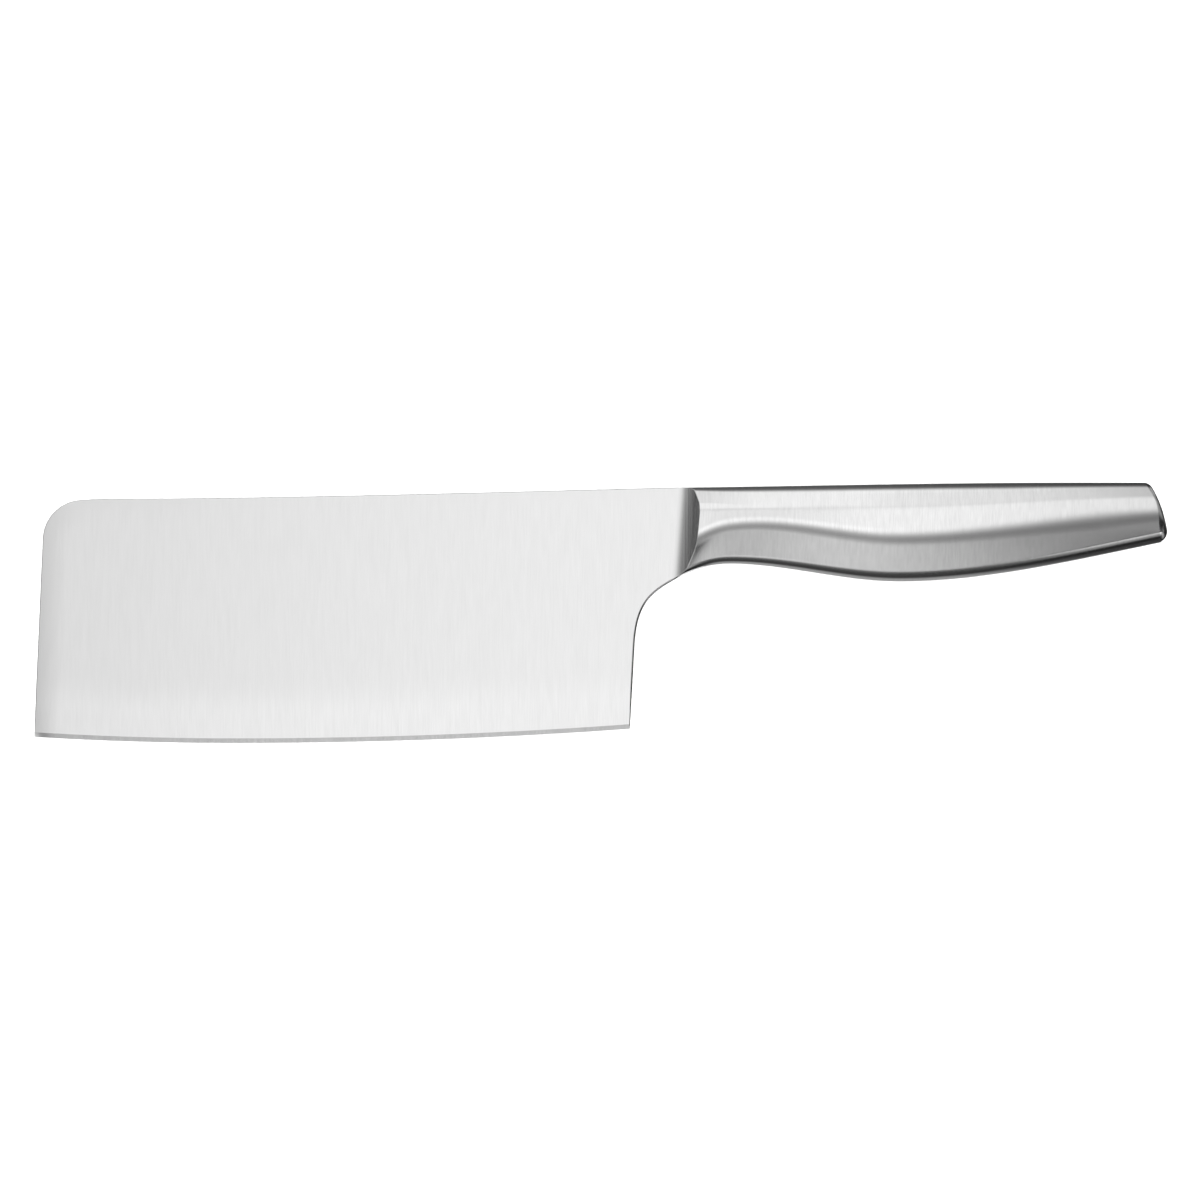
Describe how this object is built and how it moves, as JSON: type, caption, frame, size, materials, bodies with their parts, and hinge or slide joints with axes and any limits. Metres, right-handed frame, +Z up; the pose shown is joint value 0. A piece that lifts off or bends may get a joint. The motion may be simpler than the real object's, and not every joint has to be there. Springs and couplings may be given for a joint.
{
  "type": "kitchen cleaver",
  "caption": "All-steel kitchen cleaver with a broad thin blade, a narrow cutting bevel, a cove ground behind the neck and a hollow brushed steel handle.",
  "frame": {"origin": "centre of the bounding box on the surface that the cleaver lies on", "axes": "+X from the front of the blade to the butt, +Y from the cutting edge to the spine, +Z up through the thickness, with the cleaver lying on its right side"},
  "size_m": [0.3118, 0.0716, 0.0158],
  "materials": {
    "blade_steel": "fine satin, ground across the blade",
    "handle_steel": "fine brush marks across the handle",
    "weld_steel": "weld bead, ground flush and brushed over"
  },
  "bodies": {
    "root": {"blade": "blade_steel", "bolster": "handle_steel", "handle_shell_left": "handle_steel", "handle_shell_right": "handle_steel", "butt_cap": "handle_steel", "spine_weld": "weld_steel", "belly_weld": "weld_steel", "bolster_weld": "weld_steel", "cap_weld": "weld_steel", "tang_weld": "weld_steel"}
  },
  "joints": []
}
